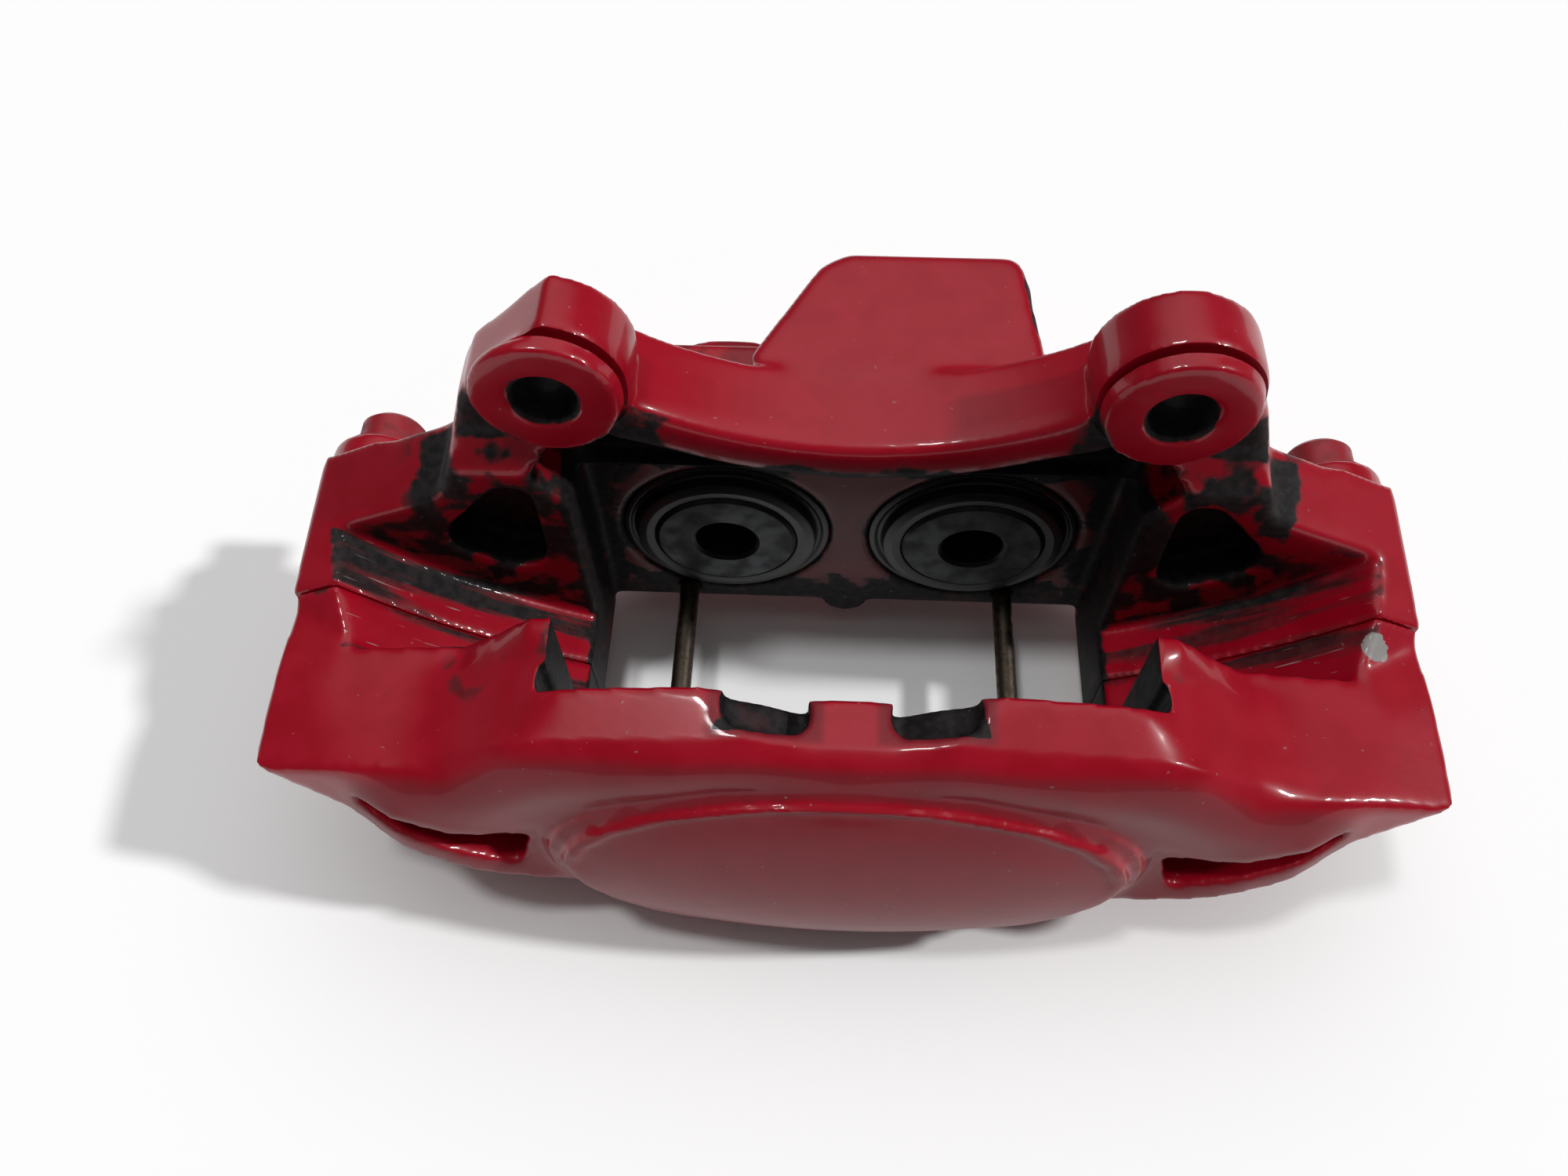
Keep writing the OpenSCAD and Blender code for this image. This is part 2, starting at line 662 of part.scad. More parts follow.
// Bleed screw: thread, hexagon and hose nipple, with its drilling
module bleed_screw() {
    color(steel) translate([bleed_x, 0, bleed_z]) difference() {
        union() {
            rod_y(0, 0, bleed_seat_y + 0.3, bleed_hex_y, bleed_d);
            translate([0, bleed_hex_y - eps, 0]) rotate([-90, 0, 0])
                cylinder(d = bleed_hex_d, h = bleed_hex_h, $fn = 6);
            rod_y(0, 0, nipple_y - eps, nipple_end, nipple_d);
            translate([0, nipple_end - nipple_l * 4 / 9, 0]) rotate([-90, 0, 0])
                cylinder(d1 = barb_d, d2 = nipple_d, h = nipple_l / 3);
        }
        rod_y(0, 0, bleed_seat_y + bleed_d, far, nipple_d * 0.4);
    }
}

module bleed_cap() {
    color(rubber) translate([bleed_x, 0, bleed_z]) difference() {
        rod_y(0, 0, nipple_y + 0.2, nipple_end + 3, cap_bore_d + 2 * cap_t);
        rod_y(0, 0, 0, nipple_end + 0.5, cap_bore_d);
    }
}

in_frame() inboard_half();
in_frame() outboard_half();
in_frame() piston_at(-1, 1);  // piston_in_left
in_frame() piston_at(1, 1);  // piston_in_right
in_frame() piston_at(-1, -1);  // piston_out_left
in_frame() piston_at(1, -1);  // piston_out_right
in_frame() at_cylinder(-1, 1) seal();  // seal_in_left
in_frame() at_cylinder(1, 1) seal();  // seal_in_right
in_frame() at_cylinder(-1, -1) seal();  // seal_out_left
in_frame() at_cylinder(1, -1) seal();  // seal_out_right
in_frame() at_cylinder(-1, 1) boot();  // boot_in_left
in_frame() at_cylinder(1, 1) boot();  // boot_in_right
in_frame() at_cylinder(-1, -1) boot();  // boot_out_left
in_frame() at_cylinder(1, -1) boot();  // boot_out_right
in_frame() pad_pin(-1);  // pad_pin_left
in_frame() pad_pin(1);  // pad_pin_right
in_frame() pin_sleeve(-1);  // pin_sleeve_left
in_frame() pin_sleeve(1);  // pin_sleeve_right
in_frame() bridge_bolts();
in_frame() crossover_seals();
in_frame() bleed_screw();
in_frame() bleed_cap();
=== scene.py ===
import math

import bmesh
import bpy
import numpy as np
from mathutils import Matrix, Vector


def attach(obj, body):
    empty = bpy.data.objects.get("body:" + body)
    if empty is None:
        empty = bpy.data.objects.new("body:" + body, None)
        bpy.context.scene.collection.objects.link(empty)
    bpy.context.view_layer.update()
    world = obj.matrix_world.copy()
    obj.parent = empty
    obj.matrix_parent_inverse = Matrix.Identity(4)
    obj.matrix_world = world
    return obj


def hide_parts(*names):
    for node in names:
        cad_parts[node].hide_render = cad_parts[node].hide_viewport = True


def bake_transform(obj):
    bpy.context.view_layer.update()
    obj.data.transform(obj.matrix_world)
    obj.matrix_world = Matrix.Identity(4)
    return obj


bl_info = {
    "name": "Red brake caliper",
    "version": (1, 0, 0),
    "blender": (4, 5, 0),
    "location": "3D View > Sidebar > Caliper",
    "description": "Dresses the packed solids of a fixed disc brake caliper",
    "category": "Object",
}

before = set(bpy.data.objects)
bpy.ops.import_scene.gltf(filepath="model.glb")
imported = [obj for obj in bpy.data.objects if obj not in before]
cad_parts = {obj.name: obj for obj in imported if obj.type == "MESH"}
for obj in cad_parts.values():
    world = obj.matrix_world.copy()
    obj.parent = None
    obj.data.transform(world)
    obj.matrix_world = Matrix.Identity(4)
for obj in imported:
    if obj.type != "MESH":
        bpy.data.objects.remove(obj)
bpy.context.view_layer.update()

MM = 0.001
# the disc's middle plane and the row of pistons, seen from the mounting holes
ROW = Vector((0.0, -14.5, -66.0)) * MM
SIDES = ("left", "right")
CYLINDERS = tuple(f"{half}_{side}" for half in ("in", "out") for side in SIDES)


# Sizes and colours that a user may change


class CaliperCasting(bpy.types.PropertyGroup):
    grain: bpy.props.FloatProperty(
        name="Grain", description="Edge of the small cells that the castings are formed in",
        default=0.85 * MM, min=0.5 * MM, max=3 * MM, unit="LENGTH")
    edge_passes: bpy.props.IntProperty(
        name="Edge passes", description="How many times sharp casting edges are eased",
        default=5, min=0, max=40)
    flank_passes: bpy.props.IntProperty(
        name="Flank passes", description="How many times the outboard flanks and front are blended",
        default=34, min=0, max=120)
    triangles: bpy.props.IntProperty(
        name="Triangles", description="Triangles kept in each casting",
        default=170000, min=20000, max=190000)


class CaliperFinish(bpy.types.PropertyGroup):
    paint: bpy.props.StringProperty(
        name="Paint", description="Colour of the gloss paint, as an sRGB hex value", default="#920119")
    paint_light: bpy.props.StringProperty(
        name="Faded paint", description="Colour of the paint where it has faded, as an sRGB hex value",
        default="#99071F")
    # the grime colour also paints the shade under the rib and ears and on faces that look down
    grime_and_shade: bpy.props.StringProperty(
        name="Grime", description="Colour of the brake dust in the slot, as an sRGB hex value",
        default="#131112")
    dust: bpy.props.StringProperty(
        name="Dust", description="Colour of the lighter grains in the grime, as an sRGB hex value",
        default="#231E1F")
    # the film colour also paints shade on the outboard faces that look forward
    film_and_shade: bpy.props.StringProperty(
        name="Film", description="Colour of the even dust film, as an sRGB hex value", default="#4E2226")
    metal: bpy.props.StringProperty(
        name="Metal", description="Colour of the bare metal in the chips, as an sRGB hex value",
        default="#8C8986")
    rubber: bpy.props.StringProperty(
        name="Rubber", description="Colour of the boots, as an sRGB hex value", default="#0B0D0F")
    wear: bpy.props.FloatProperty(
        name="Wear", description="Share of the paint that is chipped off",
        default=0.3, min=0, max=1, subtype="FACTOR")


class CaliperStage(bpy.types.PropertyGroup):
    eye: bpy.props.FloatVectorProperty(
        name="Eye", description="Place of the camera", default=(-0.00713, -0.15106, 0.18495),
        subtype="TRANSLATION", unit="LENGTH")
    lens: bpy.props.FloatProperty(
        name="Lens", description="Focal length on a 36 mm wide sensor, in millimetres", default=28.45)
    floor_z: bpy.props.FloatProperty(
        name="Floor", description="Height of the floor", default=-0.1122, unit="LENGTH")
    key: bpy.props.FloatProperty(
        name="Key light", description="Strength of the lamp that throws the shadow", default=1.85, min=0)
    top: bpy.props.FloatProperty(
        name="Top light", description="Strength of the lamp overhead, for the shadow close by",
        default=0.70, min=0)
    sky: bpy.props.FloatProperty(
        name="Sky", description="Strength of the soft light from overhead", default=1.07, min=0)
    room: bpy.props.FloatProperty(
        name="Room", description="Strength of the even light from all round", default=0.10, min=0)


def settings(name):
    return getattr(bpy.context.scene, "caliper_" + name)


# Colours and materials


def linear(hex_value):
    """sRGB hex value as linear red, green, blue and 1."""
    parts = [int(hex_value.lstrip("#")[i:i + 2], 16) / 255 for i in (0, 2, 4)]
    return tuple(c / 12.92 if c <= 0.04045 else ((c + 0.055) / 1.055) ** 2.4 for c in parts) + (1.0,)


def add(tree, kind, links=None, **values):
    """Adds a node. links maps an input to an output socket or a plain value; values are settings."""
    node = tree.nodes.new(kind)
    for key, value in values.items():
        setattr(node, key, value)
    for key, value in (links or {}).items():
        socket = node.inputs[key]
        if isinstance(value, bpy.types.NodeSocket):
            tree.links.new(value, socket)
        else:
            socket.default_value = value
    return node


def new_material(name):
    material = bpy.data.materials.new(name)
    material.use_nodes = True
    tree = material.node_tree
    tree.nodes.clear()
    return material, tree


def surface(tree, links, **values):
    shader = add(tree, "ShaderNodeBsdfPrincipled", links, **values)
    add(tree, "ShaderNodeOutputMaterial", {"Surface": shader.outputs[0]})
    return shader


def speckle(tree, coords, size_mm, low, high, detail=3.0):
    """0 to 1 where a noise of that grain size, in millimetres, rises from low to high."""
    noise = add(tree, "ShaderNodeTexNoise", {"Vector": coords, "Scale": 1 / (size_mm * MM), "Detail": detail})
    return add(tree, "ShaderNodeMapRange", {"Value": noise.outputs["Fac"], "From Min": low, "From Max": high},
               interpolation_type="SMOOTHSTEP").outputs[0]


def paint_material():
    """Gloss red enamel, sprayed over cast aluminium: a deep colour under a smooth, slightly dusty gloss,
    with dark brake dust where the disc and pads run, the same dark colour as painted shade under the rib and
    ears, on faces that look down and in the wall's corners, a brown film that is painted shade as well on the
    outboard faces that look forward, and bare grey metal in the chips."""
    finish = settings("finish")
    material, tree = new_material("gloss_red_enamel_on_cast_aluminium")
    coords = add(tree, "ShaderNodeTexCoord").outputs["Object"]
    soot_and_shade, film_and_shade, bare, rubbed = (add(tree, "ShaderNodeAttribute", attribute_name=name).outputs["Fac"]
                                for name in ("soot_and_shade", "film_and_shade", "bare", "rubbed"))
    sweep = add(tree, "ShaderNodeAttribute", attribute_name="sweep").outputs["Vector"]
    # patches of dust about 9 mm across and grains of 2 mm in them
    patch = speckle(tree, coords, 9, 0.36, 0.62)
    fine = speckle(tree, coords, 2.2, 0.40, 0.60)
    # streaks 50 by 5 mm, and scratches 16 by 0.8 mm, along the disc's way
    drawn = add(tree, "ShaderNodeVectorMath", {0: sweep, 1: (1 / 10, 1.0, 1.0)},
                operation="MULTIPLY").outputs[0]
    streak = speckle(tree, drawn, 5.0, 0.34, 0.66, 5.0)
    thin = add(tree, "ShaderNodeVectorMath", {0: sweep, 1: (1 / 20, 1.0, 1.0)},
               operation="MULTIPLY").outputs[0]
    scratch = speckle(tree, thin, 0.8, 0.63, 0.73, 2.0)
    ragged = add(tree, "ShaderNodeMix", {"Factor": rubbed, "A": patch, "B": streak}).outputs["Result"]
    spread = add(tree, "ShaderNodeMapRange", {"Value": ragged, "To Min": -0.34, "To Max": 0.30}).outputs[0]
    # the dark grime is brake dust, and painted shade under the rib and ears, on faces that look down and in the
    # wall's corners
    reach = add(tree, "ShaderNodeMath", {0: soot_and_shade, 1: spread}).outputs[0]
    dirt_and_shade = add(tree, "ShaderNodeMapRange", {"Value": reach, "From Min": 0.30, "From Max": 0.74},
               interpolation_type="SMOOTHSTEP").outputs[0]
    # chips of 0.5 to 2 mm, few on the open faces; half bare metal is only scratched, and fully bare is
    # knocked off
    chip = speckle(tree, coords, 1.6, 0.735, 0.765, 2.0)
    chip = add(tree, "ShaderNodeMath", {0: chip, 1: finish.wear}, operation="MULTIPLY").outputs[0]
    marks = add(tree, "ShaderNodeMix", {"Factor": rubbed, "A": fine, "B": scratch}).outputs["Result"]
    worn = add(tree, "ShaderNodeMapRange", {"Value": marks, "To Min": -0.45, "To Max": 0.0}).outputs[0]
    broken = add(tree, "ShaderNodeMath", {0: bare, 1: worn}).outputs[0]
    scrape = add(tree, "ShaderNodeMapRange", {"Value": broken, "From Min": 0.3, "From Max": 0.5}).outputs[0]
    chips = add(tree, "ShaderNodeMath", {0: chip, 1: scrape}, operation="MAXIMUM").outputs[0]
    red = add(tree, "ShaderNodeMix", {"Factor": patch, "A": linear(finish.paint),
                                      "B": linear(finish.paint_light)}, data_type="RGBA").outputs["Result"]
    dark = add(tree, "ShaderNodeMix", {"Factor": fine, "A": linear(finish.grime_and_shade), "B": linear(finish.dust)},
               data_type="RGBA").outputs["Result"]
    # an even film of brown dust, that takes the gloss off too; on the outboard faces that look forward it is
    # painted shade as well
    veiled_and_shaded = add(tree, "ShaderNodeMix", {"Factor": film_and_shade, "A": red, "B": linear(finish.film_and_shade)},
                 data_type="RGBA").outputs["Result"]
    soiled_and_shaded = add(tree, "ShaderNodeMix", {"Factor": dirt_and_shade, "A": veiled_and_shaded, "B": dark},
                 data_type="RGBA").outputs["Result"]
    colour = add(tree, "ShaderNodeMix", {"Factor": chips, "A": soiled_and_shaded, "B": linear(finish.metal)},
                 data_type="RGBA").outputs["Result"]
    dull = add(tree, "ShaderNodeMath", {0: dirt_and_shade, 1: film_and_shade}, operation="MAXIMUM").outputs[0]
    rough = add(tree, "ShaderNodeMapRange", {"Value": dull, "To Min": 0.34, "To Max": 0.66}).outputs[0]
    # faint orange peel of the sprayed coat, 2.5 mm from crest to crest
    peel = add(tree, "ShaderNodeTexNoise", {"Vector": coords, "Scale": 1 / (2.5 * MM), "Detail": 2.0})
    bump = add(tree, "ShaderNodeBump", {"Height": peel.outputs["Fac"], "Strength": 0.05, "Distance": 0.4 * MM})
    gloss = add(tree, "ShaderNodeMapRange", {"Value": dull, "To Min": 0.45, "To Max": 0.05}).outputs[0]
    surface(tree, {"Base Color": colour, "Roughness": rough, "Normal": bump.outputs[0], "IOR": 1.45,
                   "Specular IOR Level": 0.2, "Coat Weight": gloss, "Coat Roughness": 0.09})
    return material


def rubber_material():
    """EPDM rubber, moulded: matt near-black with a little dust in it."""
    material, tree = new_material("moulded_epdm_rubber")
    coords = add(tree, "ShaderNodeTexCoord").outputs["Object"]
    dusty = add(tree, "ShaderNodeMix", {"Factor": speckle(tree, coords, 3, 0.45, 0.75),
                                        "A": linear(settings("finish").rubber), "B": linear("#14171A")},
                data_type="RGBA").outputs["Result"]
    surface(tree, {"Base Color": dusty, "Roughness": 0.42, "IOR": 1.5})
    return material


def metal_material(name, colour, dull, roughness, grain_mm, metallic=1.0):
    """Metal with a mottled skin of tarnish or dirt over the bright surface."""
    material, tree = new_material(name)
    coords = add(tree, "ShaderNodeTexCoord").outputs["Object"]
    spots = speckle(tree, coords, grain_mm, 0.38, 0.66)
    mottled = add(tree, "ShaderNodeMix", {"Factor": spots, "A": linear(colour), "B": linear(dull)},
                  data_type="RGBA").outputs["Result"]
    rough = add(tree, "ShaderNodeMapRange", {"Value": spots, "To Min": roughness,
                                             "To Max": min(1.0, roughness + 0.22)}).outputs[0]
    surface(tree, {"Base Color": mottled, "Metallic": metallic, "Roughness": rough})
    return material


MAKERS = {
    "red_paint": paint_material,
    "rubber": rubber_material,
    # phosphated steel piston, dark grey and dull from brake dust
    "piston_steel": lambda: metal_material("phosphated_piston_steel", "#303335", "#282A2B", 0.36, 6.0, 0.7),
    # ground steel pin, browned by heat and light rust
    "pin_steel": lambda: metal_material("browned_ground_steel", "#6D6459", "#51473D", 0.36, 2.0),
    # bolt sprayed over with the casting's enamel, dulled by road dirt
    "bolt_paint": lambda: metal_material("dusty_red_enamel_on_steel", "#8C0A1C", "#78101A", 0.38, 3.5, 0.0),
    # zinc plated steel, greyed
    "zinc_steel": lambda: metal_material("greyed_zinc_plate", "#A8A294", "#6F6A60", 0.40, 2.5),
}
made = {}


def material_for(slot):
    """The material of one of the record's slots, made once."""
    if slot not in made:
        made[slot] = MAKERS[slot]()
    return made[slot]


# Meshes


def add_object(name, mesh):
    obj = bpy.data.objects.new(name, mesh)
    bpy.context.scene.collection.objects.link(obj)
    return obj


def place(obj, slot, body, *nodes):
    """Gives a finished piece its material, and puts it in the place of its solids."""
    obj.data.materials.clear()
    obj.data.materials.append(material_for(slot))
    if nodes:
        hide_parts(*nodes)
    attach(obj, body)
    return obj


def dress(node, slot):
    """A solid that shows as it is."""
    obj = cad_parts[node]
    obj.data.materials.clear()
    obj.data.materials.append(material_for(slot))


def smooth(mesh, degrees=35):
    mesh.shade_smooth()
    mesh.set_sharp_from_angle(angle=math.radians(degrees))


def baked(obj):
    """Plain mesh of an object with its modifiers."""
    depsgraph = bpy.context.evaluated_depsgraph_get()
    return bpy.data.meshes.new_from_object(obj.evaluated_get(depsgraph), depsgraph=depsgraph)


def turned(profile, steps=96, centre=(0, 0, 0), flip=1):
    """Mesh of a closed (radius, depth) outline in mm turned about y. flip -1 turns its depth to the disc's
    other side."""
    rings = np.array(profile, float) * MM
    mesh = bmesh.new()
    rows = []
    for i in range(steps):
        a = 2 * math.pi * i / steps
        rows.append([mesh.verts.new((r * math.cos(a) + centre[0], flip * y + centre[1],
                                     r * math.sin(a) + centre[2])) for r, y in rings])
    n = len(rings)
    for i in range(steps):
        for j in range(n):
            a, b = rows[i], rows[(i + 1) % steps]
            mesh.faces.new((a[j], a[(j + 1) % n], b[(j + 1) % n], b[j]))
    bmesh.ops.remove_doubles(mesh, verts=mesh.verts, dist=1e-7)
    bmesh.ops.dissolve_degenerate(mesh, dist=1e-8, edges=mesh.edges)
    bmesh.ops.recalc_face_normals(mesh, faces=mesh.faces)
    out = bpy.data.meshes.new("turned")
    mesh.to_mesh(out)
    mesh.free()
    return out


def eased(points, radius, steps=4):
    """Outline with its corners rounded to a radius, all in mm. A point may carry its own radius as a third
    number."""
    out = []
    n = len(points)
    for i in range(n):
        a, b, c = (np.array(points[k % n][:2], float) for k in (i - 1, i, i + 1))
        r = points[i][2] if len(points[i]) > 2 else radius
        u, v = a - b, c - b
        lu, lv = np.linalg.norm(u), np.linalg.norm(v)
        if r <= 0 or lu < 1e-9 or lv < 1e-9:
            out.append(tuple(b))
            continue
        u, v = u / lu, v / lv
        half = math.acos(max(-1, min(1, float(u @ v)))) / 2
        if half > math.radians(88):
            out.append(tuple(b))
            continue
        reach = min(r / math.tan(half), lu * 0.48, lv * 0.48)
        for t in np.linspace(0, 1, steps + 1):
            p, q = b + u * reach, b + v * reach
            out.append(tuple((1 - t) ** 2 * p + 2 * t * (1 - t) * b + t ** 2 * q))
    return out


def in_row(points):
    """Points of a mesh in mm, seen from the middle of the row of pistons, on the disc's plane."""
    return (points - np.array(ROW)) / MM


def coords_of(mesh):
    out = np.empty(len(mesh.vertices) * 3)
    mesh.vertices.foreach_get("co", out)
    return out.reshape(-1, 3)


def normals_of(mesh):
    out = np.empty(len(mesh.vertices) * 3)
    mesh.vertices.foreach_get("normal", out)
    return out.reshape(-1, 3)


def step(x, low, high):
    """Smooth rise from 0 at low to 1 at high."""
    t = np.clip((x - low) / (high - low), 0, 1)
    return t * t * (3 - 2 * t)


def set_attribute(mesh, name, values):
    layer = mesh.attributes.new(name, "FLOAT", "POINT")
    layer.data.foreach_set("value", np.clip(values, 0, 1).astype(np.float32))


def formed(node, ease, *shapes):
    """Casting formed from a solid: its surface in small cells, bent by shapes, with edges eased by
    ease(points, normals) passes."""
    casting = settings("casting")
    copy = add_object("forming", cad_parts[node].data.copy())
    cells = bmesh.new()
    cells.from_mesh(copy.data)
    bmesh.ops.remove_doubles(cells, verts=cells.verts, dist=1e-6)
    cells.to_mesh(copy.data)
    cells.free()
    remesh = copy.modifiers.new("cells", "REMESH")
    remesh.mode = "VOXEL"
    remesh.voxel_size = casting.grain
    mesh = baked(copy)
    bpy.data.objects.remove(copy)
    for shape in shapes:
        shape(mesh)
    points = coords_of(mesh)
    pairs = np.empty(len(mesh.edges) * 2, np.int32)
    mesh.edges.foreach_get("vertices", pairs)
    a, b = pairs[0::2], pairs[1::2]
    count = np.bincount(np.concatenate([a, b]), minlength=len(points))[:, None]
    passes = ease(in_row(points), normals_of(mesh))
    for turn in range(int(passes.max() + 0.999)):
        if turn % 8 == 7:
            # only the edges that still reach a moving point
            live = (passes > turn)[a] | (passes > turn)[b]
            a, b = a[live], b[live]
        mean = np.stack([np.bincount(a, points[b, k], len(points)) + np.bincount(b, points[a, k], len(points))
                         for k in range(3)], 1) / np.maximum(count, 1)
        points += np.clip(passes - turn, 0, 1)[:, None] * 0.5 * (mean - points)
    mesh.vertices.foreach_set("co", points.ravel())
    mesh.update()
    return mesh


def levelled(mesh, share, spread=7.0, cell=1.0):
    """Blends the folds of a top face: its height goes towards the mean over spread mm, by
    share(points, normals)."""
    points = coords_of(mesh)
    p = in_row(points)
    part = share(p, normals_of(mesh))
    on = part > 0.001
    low = np.floor(p[on, :2].min(0))
    at = ((p[on, :2] - low) / cell).astype(int)
    size = tuple(at.max(0) + 1)
    height, weight = np.zeros(size), np.zeros(size)
    np.add.at(height, tuple(at.T), p[on, 2])
    np.add.at(weight, tuple(at.T), 1.0)
    height, weight = height / np.maximum(weight, 1), np.minimum(weight, 1)
    reach = np.arange(-3 * spread, 3 * spread + 1, cell)
    bell = np.exp(-0.5 * (reach / spread) ** 2)
    blurred = []
    for field in (height * weight, weight):
        for axis in (0, 1):
            field = np.apply_along_axis(np.convolve, axis, field, bell, "full")
        edge = len(bell) // 2
        blurred.append(field[edge:edge + size[0], edge:edge + size[1]])
    mean = blurred[0] / np.maximum(blurred[1], 1e-9)
    # read between the middles of the cells
    spot = np.clip((p[on, :2] - low) / cell - 0.5, 0, np.array(size) - 1.001)
    i, j = spot.astype(int).T
    u, v = (spot % 1).T
    level = ((mean[i, j] * (1 - u) + mean[i + 1, j] * u) * (1 - v)
             + (mean[i, j + 1] * (1 - u) + mean[i + 1, j + 1] * u) * v)
    points[on, 2] += part[on] * (level - p[on, 2]) * MM
    mesh.vertices.foreach_set("co", points.ravel())
    mesh.update()


def swelled(mesh, out=4.5, drop=9.0, columns=66):
    """Swells the outboard flanks into a roll that is out mm proud, drop mm under the top's edge, and shapes
    the oval's rim. The edge is found in columns of 2 mm."""
    points = coords_of(mesh)
    x, y, z = in_row(points).T
    ax = np.abs(x)
    near = np.abs(y - NOSE_Y) < 1.5
    edge = np.full(columns, -99.0)
    np.maximum.at(edge, (ax[near] / 2).astype(int), z[near])
    edge = np.convolve(np.pad(edge, 2, "edge"), np.ones(5) / 5, "valid")
    under = np.interp(ax, np.arange(columns) * 2 + 1, edge) - z
    ring = oval_reach(x, z, OVAL_RING)
    swell = np.interp(under, (0, drop, 4.5 * drop), (0, out, 0.9 * out))
    swell = swell * step(ax, 40, 62) * step(ax, 108, 92) * step(ring, 1.02, 1.36)
    # the oval's upper edge is rounded off inside a low bead, and the face above it slopes out to meet it
    upper = step(z, -10, 6)
    pad = oval_reach(x, z, OVAL)
    swell = swell - 2.2 * upper * np.clip((pad - 0.74) / 0.26, 0, 1) ** 2 * step(pad, 1.0, 0.99)
    swell = swell + 2.4 * upper * np.exp(-((pad - 0.975) / 0.03) ** 2)
    slope = step(ring, 1.03, 1.10) * step(ring, 1.4, 1.15) * step(under, 0, 4) * step(ax, 62, 44)
    swell = swell + 3.0 * upper * slope
    points[:, 1] -= swell * step(y, NOSE_Y, NOSE_Y - 1) * MM
    mesh.vertices.foreach_set("co", points.ravel())
    mesh.update()


def cut_round(obj, places):
    """Cuts round holes, grooves and seats with true edges. places are (centre in mm, axis, outline in mm)."""
    for centre, axis, outline in places:
        mesh = turned(outline, 80)
        turn = Vector((0, 1, 0)).rotation_difference(Vector(axis)).to_matrix().to_4x4()
        mesh.transform(Matrix.Translation(Vector(centre) * MM + ROW) @ turn)
        tool = add_object("tool", mesh)
        cut = obj.modifiers.new("cut", "BOOLEAN")
        cut.operation = "DIFFERENCE"
        cut.solver = "MANIFOLD"
        cut.object = tool
        done = baked(obj)
        obj.modifiers.remove(cut)
        obj.data = done
        bpy.data.objects.remove(tool)


def thinned(obj):
    mesh = obj.data
    mesh.calc_loop_triangles()
    ratio = settings("casting").triangles / max(1, len(mesh.loop_triangles))
    if ratio < 1:
        thin = obj.modifiers.new("thin", "DECIMATE")
        thin.ratio = ratio
        obj.data = baked(obj)
        obj.modifiers.remove(thin)


def hole(radius, y0, y1):
    return [(0, y0), (radius, y0), (radius, y1), (0, y1)]


# Sizes of the solids that the looks follow, in mm
PISTON_X, PISTON_R, WALL_Y = 29.7, 19.0, 30.0
PIN_X, PIN_Z = 40.5, -26.0
EAR_X, EAR_Z, EAR_Y = 61.0, 66.0, 14.5
BOLTS = ((113.0, 8.0), (77.0, -20.0))
BOLT_SEAT = 42.0
# where the outboard half's top turns down to its front, and the oval there with the ring round it
NOSE_Y = -40.0
OVAL, OVAL_RING, OVAL_Z = (59.0, 28.5), (63.0, 31.5), -3.0
# middle of each scallop in the outboard top, and the top's height at 8, 16 and 24 mm from the middle
SCALLOP_X = 16.5
CROWN_Z = (33.1, 34.5, 36.5)
# height of the wheel's axis, and the radius of the slot's floor
HUB_Z, SLOT_R = 136.0, 161.5


def oval_reach(x, z, half):
    """0 in the middle of the oval and 1 on its edge."""
    return np.hypot(x / half[0], (z - OVAL_Z) / half[1])


def slot_floor(p):
    """1 on the slot's floor, where the disc's edge runs."""
    return step(np.hypot(p[:, 0], p[:, 2] - HUB_Z), 163.5, 162.2)


def bore_cuts(side):
    """Cylinder bores with their boot recesses; side is 1 inboard and -1 outboard."""
    out = []
    for x in (-PISTON_X, PISTON_X):
        out.append(((x, side * WALL_Y, 0), (0, side, 0),
                    [(0, -6), (25.6, -6), (25.6, 0), (25.0, 0.6), (25.0, 4.2), (19.05, 4.2), (19.05, 18.2),
                     (0, 18.2)]))
    return out


def most(*fields):
    return np.maximum.reduce(np.broadcast_arrays(*fields))


